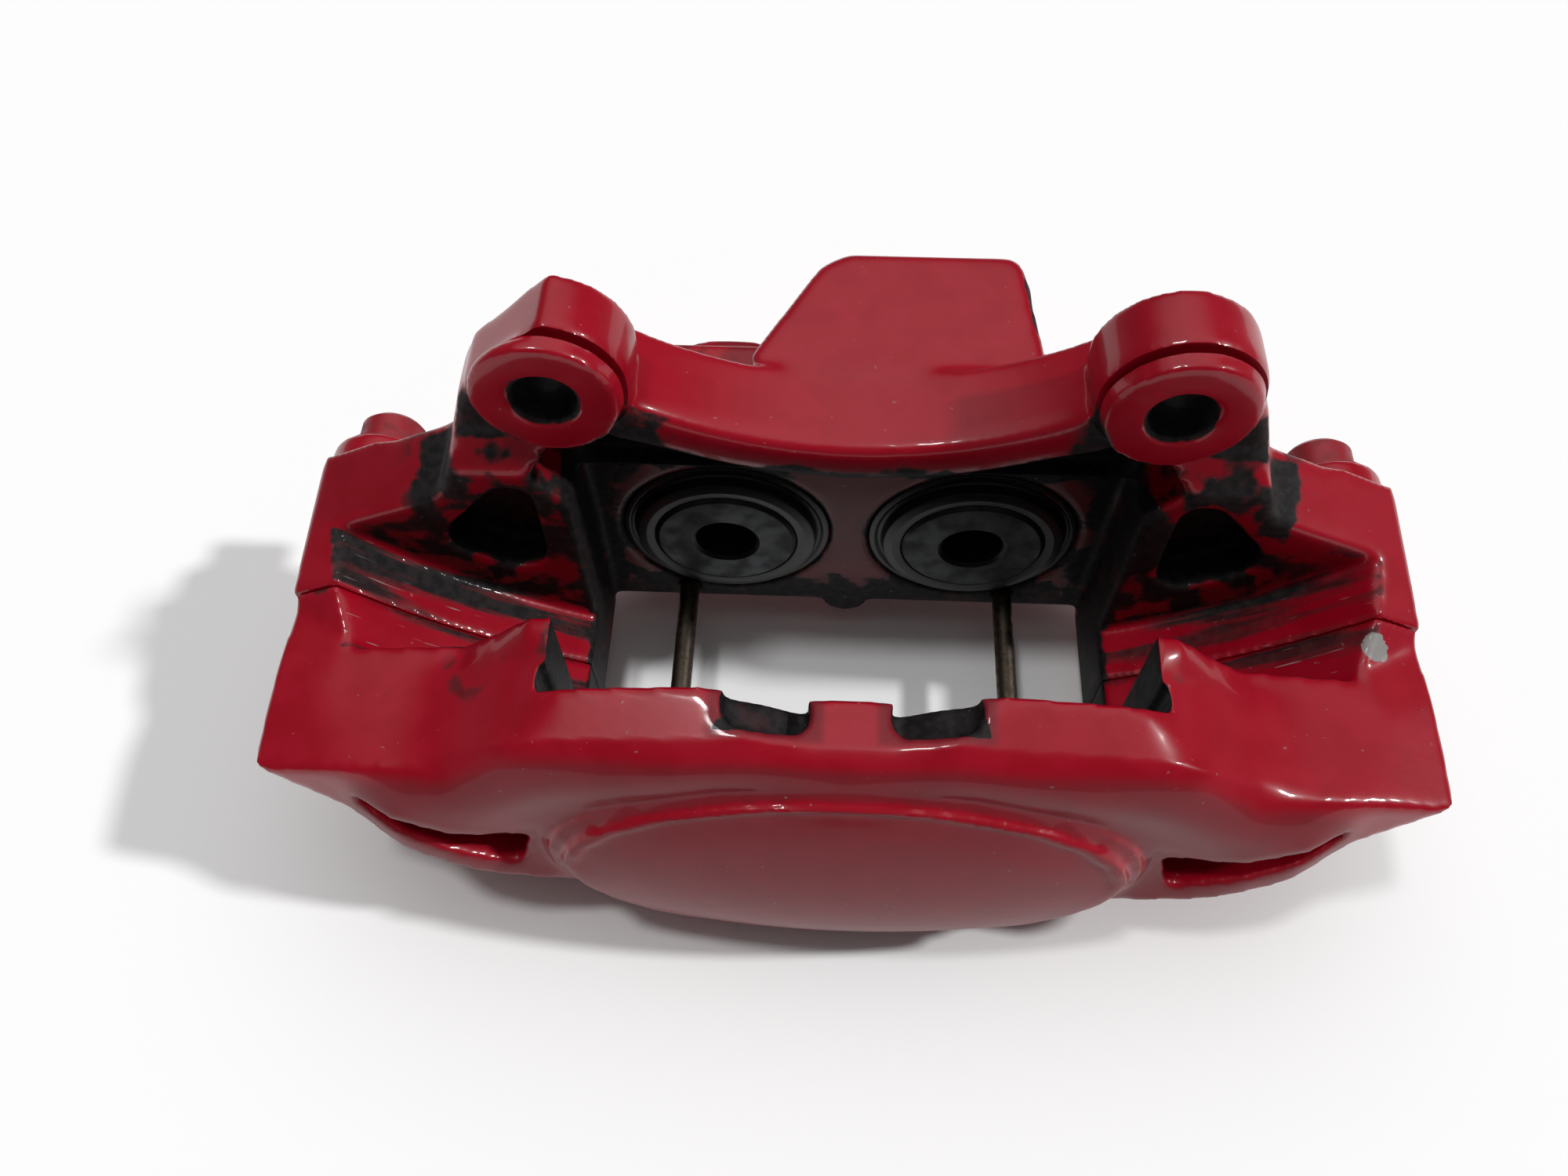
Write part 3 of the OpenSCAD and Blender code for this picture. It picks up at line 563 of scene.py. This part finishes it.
def inboard_soot_and_shade(p, n):
    """Brake dust on the inboard half: the walls and pockets beside the disc and the slot. Painted shade as
    well:
    under the rib and the ears, on faces that look down, in the wall's corners, and a raised base on the legs'
    fronts."""
    x, y, z = p.T
    ax = np.abs(x)
    boot = np.hypot(ax - PISTON_X, z)
    # brake dust on the wall round the boots; its darkest parts, in the boots' recesses, the outer corners, the
    # top under the rib and the foot, are painted shade as well
    wall = step(np.abs(y - WALL_Y), 7, 3) * step(n[:, 1], -0.2, -0.6) * step(z, 52, 46) * step(ax, 80, 74)
    wall = wall * (0.08 + 0.88 * most(step(ax, 52, 60), step(z, 20, 29), step(z, -15, -22),
                                      step(boot, 26.4, 25.4)))
    pocket = step(y, 14.2, 15.5) * step(ax, 66, 67.5) * step(ax, 97, 94) * step(z, 40, 38)
    # brake dust beside the disc; its raised base over the legs' fronts is painted shade as well
    beside = step(y, 30, 27) * step(z, 54, 44) * step(ax, 104, 88) * step(y, 11.5, 13.2) * step(ax, 59.5, 60.5)
    beside = beside * (0.57 + 0.43 * most(pocket, step(ax, 64, 62)))
    window = step(y, 29.4, 28.4) * step(ax, 63, 61.4) * step(z, 44, 38)
    # painted shade on the faces under the ears
    under_ear = (step(y, 35, 31) * step(y, 17, 19) * step(z, 66, 56) * step(z, 34, 42) * step(ax, 33, 48)
                 * step(n[:, 1] + 0.5 * n[:, 2], -0.1, -0.5))
    # painted shade on the faces under the rib
    under_rib = step(n[:, 2], -0.05, -0.5) * step(z, 33, 36) * step(y, 18, 21) * step(ax, 80, 66)
    slot = step(y, 14.2, 13.0) * slot_floor(p)
    slot = slot * (0.24 + 0.11 * step(x, 20, -20) + 0.19 * step(y, 5, 12))
    bores = step(np.hypot(ax - EAR_X, z - EAR_Z), 7.0, 6.6)
    foot = 0.22 * step(np.abs(ax - 88), 16, 6) * step(np.abs(z - 38), 14, 4) * step(y, 14, 18)
    block = (0.7 * step(n[:, 0], 0.3, 0.7) * step(x, 34, 37) * step(x, 47, 44) * step(y, 38, 42)
             * step(z, 14, 24))
    behind = 0.16 * step(y, 40, 42) * step(z, 44, 38) * step(n[:, 2], 0.3, 0.7)
    # painted shade on every face that looks down
    low = 0.45 * step(n[:, 2], 0.1, -0.5)
    return most(wall, beside, window, under_ear, under_rib, slot, bores, foot, block, behind, low) + 0.05


def outboard_soot_and_shade(p, n):
    """Brake dust on the outboard half: the slot, the window's walls and the scallops; and painted shade on
    every face that looks down.
    """
    x, y, z = p.T
    ax = np.abs(x)
    slot = step(y, -14.4, -13.2) * slot_floor(p)
    slot = slot * (0.30 + 0.18 * step(x, 20, -20))
    beside = step(np.abs(y + 13.5), 1.0, 0.4) * step(n[:, 1], 0.4, 0.8) * 0.85
    window = step(y, -31.2, -29.8) * step(ax, 64, 62.6) * step(n[:, 2], 0.8, 0.5)
    scallop = scalloped(p)
    hump = 0.40 * step(np.abs(ax - 66), 7, 4) * step(np.abs(y + 16), 8, 4) * step(z, 22, 27)
    scuff = 0.24 * step(np.hypot(x + 79, y + 21), 10, 5) * step(n[:, 2], 0.3, 0.6)
    # painted shade on every face that looks down
    low = 0.5 * step(n[:, 2], 0.0, -0.5)
    split = 0.36 * step(y, -3, -1) * step(n[:, 2], 0.3, 0.7)
    return most(slot, beside, window, 0.95 * scallop, hump, scuff, low, split) + 0.03


def scalloped(p):
    """1 on the floor and walls of the two scallops in the window's edge."""
    x, y, z = p.T
    ax = np.abs(x)
    crown = np.interp(ax, (8, 16, 24), CROWN_Z)
    return (step(np.abs(ax - SCALLOP_X), 10.2, 9.4) * step(y, -38.9, -38.2) * step(z - crown, -0.4, -1.2)
            * step(z, 20, 22))


def inboard_film(p, n):
    """Even brown dust on the wall round the inboard boots."""
    x, y, z = p.T
    wall = step(np.abs(y - WALL_Y), 7, 3) * step(n[:, 1], -0.2, -0.6) * step(z, 52, 46)
    return 0.55 * wall * step(np.abs(x), 70, 62)


def outboard_film_and_shade(p, n):
    """Even brown dust in the scallops, thinner on their rims, and on the oval and the flanks, where the film on
    the faces that look forward is painted shade as well.
    """
    x, y, z = p.T
    # brown dust film on the faces that look forward, which also paints shade on them
    front = step(n[:, 1], -0.5, -0.8) * step(y, -42, -45)
    rim = step(np.abs(np.abs(x) - SCALLOP_X), 12.0, 10.5) * step(y, -40.5, -39) * step(z, 20, 24)
    return most(0.8 * scalloped(p), 0.5 * front, 0.55 * rim)


def finish_casting(obj, soot_and_shade, film_and_shade, bare):
    """Smooths a casting, and stores where it is dusty, where shade is painted, where it is bare and rubbed,
    and the way that the disc sweeps past."""
    mesh = obj.data
    smooth(mesh, 40)
    p = in_row(coords_of(mesh))
    normals = normals_of(mesh)
    x, y, z = p.T
    r = np.hypot(x, z - HUB_Z)
    set_attribute(mesh, "soot_and_shade", soot_and_shade(p, normals))
    set_attribute(mesh, "film_and_shade", film_and_shade(p, normals))
    set_attribute(mesh, "bare", bare(p, normals))
    set_attribute(mesh, "rubbed", step(np.abs(y), 14.0, 13.2) * step(np.abs(r - SLOT_R), 3, 1.5))
    sweep = mesh.attributes.new("sweep", "FLOAT_VECTOR", "POINT")
    way = np.stack([r * np.arctan2(x, HUB_Z - z), y, r], 1) * MM
    sweep.data.foreach_set("vector", way.ravel().astype(np.float32))


class CALIPER_OT_inboard_half(bpy.types.Operator):
    """Forms the inboard casting with its ears, rib and cylinders"""

    bl_idname = "caliper.inboard_half"
    bl_label = "Inboard half"

    def execute(self, context):
        casting = settings("casting")

        def ease(p, n):
            x, y, z = p.T
            ax = np.abs(x)
            leg = step(y, 36, 30) * step(ax, 62, 70) * step(z, 12, 26)
            crook = step(np.abs(ax - 92), 16, 10) * step(np.abs(z - 38), 14, 8) * step(y, 14, 17)
            rib = step(y, 26, 23) * step(y, 13, 15) * step(ax, 50, 40) * step(z, 33, 35)
            split = step(y, 4, 1)
            return casting.edge_passes * ((1 + 2.2 * leg + 1.2 * step(y, 34, 40)) * (1 - split) + 0.2 * split
                                          + 7 * crook + 6 * rib)

        obj = add_object("cast_inboard", formed("inboard_half", ease))
        cuts = bore_cuts(1)
        for x in (-EAR_X, EAR_X):
            # chamfered mounting hole, and the groove behind the round face
            ear = (x, EAR_Y, EAR_Z)
            cuts.append((ear, (0, 1, 0), [(0, -2), (7.6, -2), (7.6, 0.1), (6.5, 1.1), (6.5, 30), (0, 30)]))
            cuts.append((ear, (0, 1, 0), [(13.4, 3.3), (16.6, 3.3), (16.6, 4.9), (13.4, 4.9)]))
        for x, z in BOLTS:
            for s in (-1, 1):
                cuts.append(((s * x, BOLT_SEAT, z), (0, 1, 0), hole(11.6, 0, 40)))
        for x in (-PIN_X, PIN_X):
            cuts.append(((x, 0, PIN_Z), (0, 1, 0), hole(2.75, 20, 40)))
            cuts.append(((x, 0, PIN_Z), (0, 1, 0), hole(4.25, 56.8, 90)))
        # hose port in the block's side
        cuts.append(((24.5, 66, 37), (1, 0, 0),
                     [(0, 0), (4.5, 0), (4.5, 13.6), (5.6, 14.6), (5.6, 20), (0, 20)]))
        cut_round(obj, cuts)
        thinned(obj)

        def bare(p, n):
            x, y, z = p.T
            slot = step(y, 14.2, 13.0) * slot_floor(p)
            return 0.46 * slot * step(np.abs(x), 70, 84)

        finish_casting(obj, inboard_soot_and_shade, inboard_film, bare)
        place(obj, "red_paint", "caliper", "inboard_half")
        return {"FINISHED"}


class CALIPER_OT_outboard_half(bpy.types.Operator):
    """Forms the outboard casting with its flanks, slots and oval pad"""

    bl_idname = "caliper.outboard_half"
    bl_label = "Outboard half"

    def execute(self, context):
        casting = settings("casting")

        def ease(p, n):
            x, y, z = p.T
            ax = np.abs(x)
            front = step(y, -41, -45) * step(ax, 104, 92)
            pad = oval_reach(x, z, OVAL)
            lip = step(np.abs(pad - 0.99), 0.10, 0.06) * step(y, -46, -49)
            slots = step(ax, 62, 65) * step(z - np.interp(ax, (67, 113), (-0.5, 13)), 4, 2)
            hollow = step(y, -40.2, -41.5) * step(pad, 1.03, 1.10) * step(pad, 1.7, 1.4) * step(z, -8, 4)
            notch = step(np.abs(ax - SCALLOP_X), 13, 11) * step(y, -42, -40)
            soft = most(front * casting.flank_passes, 120 * hollow, casting.edge_passes * (1 + notch))
            soft = soft * (1 - lip) + 5 * lip
            soft = soft * (1 - slots) + 6 * slots
            crisp = step(y, -4, -1)
            return soft * (1 - crisp) + crisp

        def top(p, n):
            x, y, z = p.T
            ax = np.abs(x)
            return (step(ax, 56, 68) * step(ax, 122, 102) * step(y, -16, -23) * step(y, -42, -40)
                    * step(n[:, 2], 0.35, 0.6) * step(z, 8, 11))

        mesh = formed("outboard_half", ease, lambda m: levelled(m, top), swelled)
        obj = add_object("cast_outboard", mesh)
        cuts = bore_cuts(-1)
        for x in (-PIN_X, PIN_X):
            cuts.append(((x, 0, PIN_Z), (0, -1, 0), hole(2.75, 20, 38)))
        cut_round(obj, cuts)
        thinned(obj)

        def bare(p, n):
            x, y, z = p.T
            slot = step(y, -14.4, -13.2) * slot_floor(p)
            knock = step(np.hypot(x - 112, y + 6), 3.8, 2.4) * step(n[:, 2], 0.3, 0.6)
            return most(0.46 * slot * step(np.abs(x), 70, 84), 1.2 * knock)

        finish_casting(obj, outboard_soot_and_shade, outboard_film_and_shade, bare)
        place(obj, "red_paint", "caliper", "outboard_half")
        return {"FINISHED"}


def cylinder_place(name):
    """Where a cylinder's wall is, and which way is into it."""
    side = 1 if name.startswith("in") else -1
    x = -PISTON_X if name.endswith("left") else PISTON_X
    return tuple(Vector((x, side * WALL_Y, 0)) * MM + ROW), side


class CALIPER_OT_pistons(bpy.types.Operator):
    """Turns the hollow pistons"""

    bl_idname = "caliper.pistons"
    bl_label = "Pistons"

    def execute(self, context):
        for name in CYLINDERS:
            centre, side = cylinder_place(name)
            outline = eased([(0, 9.0, 0), (7.4, 9.0), (7.4, -2.2, 0), (8.2, -3.0), (16.2, -3.0), (17.0, -2.2),
                             (17.0, -0.8), (19.0, -0.8), (19.0, 15.2), (18.2, 16.0), (0, 16.0, 0)], 0.35)
            mesh = turned(outline, 112, centre, side)
            smooth(mesh, 40)
            place(add_object(f"turned_piston_{name}", mesh), "piston_steel", f"piston_{name}", f"piston_{name}")
        return {"FINISHED"}


class CALIPER_OT_boots(bpy.types.Operator):
    """Moulds the dust boots, each stretched from its recess to the piston's nose"""

    bl_idname = "caliper.boots"
    bl_label = "Dust boots"

    def execute(self, context):
        for name in CYLINDERS:
            centre, side = cylinder_place(name)
            outline = eased([(24.9, 0.5), (24.9, 4.1), (23.0, 4.1), (22.8, 1.9), (21.9, 2.5), (20.7, 1.4),
                             (20.5, -0.9), (17.15, -0.95), (17.15, -2.35), (19.3, -2.5), (21.4, -2.0),
                             (21.9, 0.4), (22.6, 0.9), (23.6, 0.2)], 0.5)
            mesh = turned(outline, 112, centre, side)
            smooth(mesh, 60)
            obj = add_object(f"moulded_boot_{name}", mesh)
            obj.data.materials.append(material_for("rubber"))
            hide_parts(f"boot_{name}")
            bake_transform(obj)
        return {"FINISHED"}


class CALIPER_OT_pad_pins(bpy.types.Operator):
    """Turns the pad pins, and dresses the split sleeves on them"""

    bl_idname = "caliper.pad_pins"
    bl_label = "Pad pins"

    def execute(self, context):
        for side, x in zip(SIDES, (-PIN_X, PIN_X)):
            centre = tuple(Vector((x, 0, PIN_Z)) * MM + ROW)
            outline = eased([(0, -37.0, 0), (1.8, -37.0), (2.5, -36.0), (2.5, 57.0, 0), (4.0, 57.0),
                             (4.0, 61.0), (0, 61.0, 0)], 0.3)
            mesh = turned(outline, 40, centre)
            smooth(mesh, 40)
            place(add_object(f"turned_pad_pin_{side}", mesh), "pin_steel", f"pad_pin_{side}", f"pad_pin_{side}")
            dress(f"pin_sleeve_{side}", "pin_steel")
        return {"FINISHED"}


def bolt_tree():
    """Geometry nodes that stand a bolt on each point of a mesh: flange, round head with a hexagon socket, and
    shank."""
    tree = bpy.data.node_groups.new("bridge_bolts", "GeometryNodeTree")
    tree.interface.new_socket("Geometry", in_out="INPUT", socket_type="NodeSocketGeometry")
    for label in ("Flange radius", "Flange height", "Head radius", "Head height", "Socket radius",
                  "Shank radius", "Shank length"):
        tree.interface.new_socket(label, in_out="INPUT", socket_type="NodeSocketFloat")
    tree.interface.new_socket("Material", in_out="INPUT", socket_type="NodeSocketMaterial")
    tree.interface.new_socket("Geometry", in_out="OUTPUT", socket_type="NodeSocketGeometry")
    given = add(tree, "NodeGroupInput").outputs

    def bar(radius, base, height, vertices, top_ratio=1.0):
        """Bar that stands at the height base, and narrows by top_ratio."""
        narrow = add(tree, "ShaderNodeMath", {0: radius, 1: top_ratio}, operation="MULTIPLY").outputs[0]
        cone = add(tree, "GeometryNodeMeshCone", {"Vertices": vertices, "Radius Top": narrow,
                                                  "Radius Bottom": radius, "Depth": height}).outputs["Mesh"]
        lift = add(tree, "ShaderNodeCombineXYZ", {"Z": base}).outputs[0]
        return add(tree, "GeometryNodeTransform", {"Geometry": cone, "Translation": lift}).outputs[0]

    zero = 0.0
    cap = add(tree, "ShaderNodeMath", {0: given["Head height"], 1: 0.16}, operation="MULTIPLY").outputs[0]
    barrel = add(tree, "ShaderNodeMath", {0: given["Head height"], 1: 0.84}, operation="MULTIPLY").outputs[0]
    head_top = add(tree, "ShaderNodeMath", {0: given["Flange height"], 1: barrel}, operation="ADD").outputs[0]
    shank_base = add(tree, "ShaderNodeMath", {0: zero, 1: given["Shank length"]},
                     operation="SUBTRACT").outputs[0]
    web = add(tree, "ShaderNodeMath", {0: given["Head height"], 1: 0.4}, operation="MULTIPLY").outputs[0]
    socket_base = add(tree, "ShaderNodeMath", {0: given["Flange height"], 1: web}).outputs[0]
    rim = add(tree, "ShaderNodeMath", {0: given["Flange height"], 1: 0.45}, operation="MULTIPLY").outputs[0]
    skirt = add(tree, "ShaderNodeMath", {0: given["Flange height"], 1: 0.55}, operation="MULTIPLY").outputs[0]
    parts = [
        bar(given["Flange radius"], zero, rim, 48),
        bar(given["Flange radius"], rim, skirt, 48, 0.72),
        bar(given["Shank radius"], shank_base, given["Shank length"], 32),
    ]
    key = bar(given["Socket radius"], socket_base, given["Head height"], 6)
    for part in (bar(given["Head radius"], given["Flange height"], barrel, 48),
                 bar(given["Head radius"], head_top, cap, 48, 0.86)):
        parts.append(add(tree, "GeometryNodeMeshBoolean", {0: part, 1: key}, operation="DIFFERENCE",
                         solver="EXACT").outputs[0])
    joined = add(tree, "GeometryNodeJoinGeometry")
    for part in parts:
        tree.links.new(part, joined.inputs[0])
    stood = add(tree, "GeometryNodeInstanceOnPoints", {
        "Points": given["Geometry"], "Instance": joined.outputs[0], "Rotation": (-math.pi / 2, 0.0, 0.0)})
    real = add(tree, "GeometryNodeRealizeInstances", {"Geometry": stood.outputs[0]})
    painted = add(tree, "GeometryNodeSetMaterial", {"Geometry": real.outputs[0], "Material": given["Material"]})
    add(tree, "NodeGroupOutput", {"Geometry": painted.outputs[0]})
    return tree


class CALIPER_OT_bridge_bolts(bpy.types.Operator):
    """Stands the flanged bolts that hold the halves together"""

    bl_idname = "caliper.bridge_bolts"
    bl_label = "Bridge bolts"

    def execute(self, context):
        seats = bpy.data.meshes.new("bolt_seats")
        seats.from_pydata([tuple(Vector((s * x, BOLT_SEAT, z)) * MM + ROW)
                           for x, z in BOLTS for s in (-1, 1)], [], [])
        obj = add_object("stood_bridge_bolts", seats)
        tree = bolt_tree()
        bolts = obj.modifiers.new("bolts", "NODES")
        bolts.node_group = tree
        sizes = {"Flange radius": 10.5, "Flange height": 2.4, "Head radius": 8.0, "Head height": 7.6,
                 "Socket radius": 4.6, "Shank radius": 5.0, "Shank length": 66.0}
        for item in tree.interface.items_tree:
            if item.in_out == "INPUT" and item.name in sizes:
                bolts[item.identifier] = sizes[item.name] * MM
            elif item.in_out == "INPUT" and item.name == "Material":
                bolts[item.identifier] = material_for("bolt_paint")
        obj.data = baked(obj)
        obj.modifiers.clear()
        smooth(obj.data, 30)
        place(obj, "bolt_paint", "caliper", "bridge_bolts")
        return {"FINISHED"}


class CALIPER_OT_bleed_screw(bpy.types.Operator):
    """Dresses the bleed screw and turns its rubber cap"""

    bl_idname = "caliper.bleed_screw"
    bl_label = "Bleed screw"

    def execute(self, context):
        centre = tuple(Vector((-41.7, 70.5, -8)) * MM + ROW)
        dress("bleed_screw", "zinc_steel")
        cap = turned(eased([(3.3, 5.2), (5.0, 5.2), (5.0, 7.0), (4.6, 7.6), (4.6, 14.5), (5.0, 15.2),
                            (4.4, 17.0), (0, 17.0, 0), (0, 14.5, 0), (3.3, 14.5)], 0.5), 48, centre)
        smooth(cap, 50)
        place(add_object("moulded_bleed_cap", cap), "rubber", "bleed", "bleed_cap")
        return {"FINISHED"}


class CALIPER_OT_seals(bpy.types.Operator):
    """Dresses the piston seals and the crossover seals inside the halves"""

    bl_idname = "caliper.seals"
    bl_label = "Seals"

    def execute(self, context):
        for name in CYLINDERS:
            dress(f"seal_{name}", "rubber")
        dress("crossover_seals", "rubber")
        return {"FINISHED"}


class CALIPER_OT_stage(bpy.types.Operator):
    """Sets the floor, the soft light and the camera"""

    bl_idname = "caliper.stage"
    bl_label = "Stage"

    def execute(self, context):
        stage = settings("stage")
        scene = context.scene
        scene.view_settings.view_transform = "Standard"

        # white paper: matt, so that it shows nothing but the soft shadow
        material, tree = new_material("white_paper_floor")
        paper = add(tree, "ShaderNodeBsdfDiffuse", {"Color": linear("#FCFCFC")}).outputs[0]
        add(tree, "ShaderNodeOutputMaterial", {"Surface": paper})
        bpy.ops.mesh.primitive_plane_add(size=8, location=(0, 0, stage.floor_z))
        floor = context.object
        floor.name = "floor"
        floor.data.materials.append(material)

        world = bpy.data.worlds.new("studio")
        scene.world = world
        world.use_nodes = True
        tree = world.node_tree
        tree.nodes.clear()
        # broad soft light from above and a little behind, fading to a dim room
        way = add(tree, "ShaderNodeTexCoord").outputs["Generated"]
        height = add(tree, "ShaderNodeVectorMath", {0: way, 1: tuple(Vector((0, 0.35, 1)).normalized())},
                     operation="DOT_PRODUCT").outputs["Value"]
        level = add(tree, "ShaderNodeMapRange", {"Value": height, "From Min": 0.72, "From Max": 0.97,
                                                 "To Min": stage.room, "To Max": stage.room + stage.sky},
                    interpolation_type="SMOOTHSTEP").outputs[0]
        sky = add(tree, "ShaderNodeBackground", {"Color": (1, 1, 1, 1), "Strength": level}).outputs[0]
        add(tree, "ShaderNodeOutputWorld", {"Surface": sky})

        for name, energy, degrees, way in (("key", stage.key, 4, (-0.72, 0.0, -0.69)),
                                           ("top", stage.top, 6, (0.22, 0.05, -0.97))):
            lamp = bpy.data.lights.new(name, "SUN")
            lamp.energy = energy
            lamp.angle = math.radians(degrees)
            light = bpy.data.objects.new(name, lamp)
            scene.collection.objects.link(light)
            light.rotation_euler = Vector(way).to_track_quat("-Z", "Y").to_euler()

        data = bpy.data.cameras.new("camera")
        data.sensor_width = 36
        data.lens = stage.lens
        data.clip_start = 0.005
        camera = bpy.data.objects.new("camera", data)
        scene.collection.objects.link(camera)
        turn, dip, roll = (math.radians(v) for v in (-3.04, 58.92, -0.82))
        ahead = Vector((math.sin(turn) * math.cos(dip), math.cos(turn) * math.cos(dip), -math.sin(dip)))
        across = ahead.cross(Vector((0, 0, 1))).normalized()
        up = across.cross(ahead)
        right = across * math.cos(roll) + up * math.sin(roll)
        up = right.cross(ahead)
        facing = Matrix((right, up, -ahead)).transposed().to_4x4()
        camera.matrix_world = Matrix.Translation(Vector(stage.eye)) @ facing
        scene.camera = camera
        return {"FINISHED"}


class CALIPER_PT_panel(bpy.types.Panel):
    """Lists the pieces of the caliper"""

    bl_idname = "CALIPER_PT_panel"
    bl_label = "Brake caliper"
    bl_space_type = "VIEW_3D"
    bl_region_type = "UI"
    bl_category = "Caliper"

    def draw(self, context):
        for name in GROUPS:
            group = settings(name)
            box = self.layout.box()
            for key in type(group).__annotations__:
                box.prop(group, key)
        for operator in OPERATORS:
            self.layout.operator(operator.bl_idname)


GROUPS = {"casting": CaliperCasting, "finish": CaliperFinish, "stage": CaliperStage}
OPERATORS = (
    CALIPER_OT_stage,
    CALIPER_OT_inboard_half,
    CALIPER_OT_outboard_half,
    CALIPER_OT_pistons,
    CALIPER_OT_boots,
    CALIPER_OT_pad_pins,
    CALIPER_OT_bridge_bolts,
    CALIPER_OT_bleed_screw,
    CALIPER_OT_seals,
)


def register():
    for cls in (*GROUPS.values(), *OPERATORS, CALIPER_PT_panel):
        bpy.utils.register_class(cls)
    for name, cls in GROUPS.items():
        setattr(bpy.types.Scene, "caliper_" + name, bpy.props.PointerProperty(type=cls))


def unregister():
    for name in GROUPS:
        delattr(bpy.types.Scene, "caliper_" + name)
    for cls in reversed((*GROUPS.values(), *OPERATORS, CALIPER_PT_panel)):
        bpy.utils.unregister_class(cls)


def main():
    register()
    for operator in OPERATORS:
        area, name = operator.bl_idname.split(".")
        getattr(getattr(bpy.ops, area), name)()


if __name__ == "__main__":
    main()
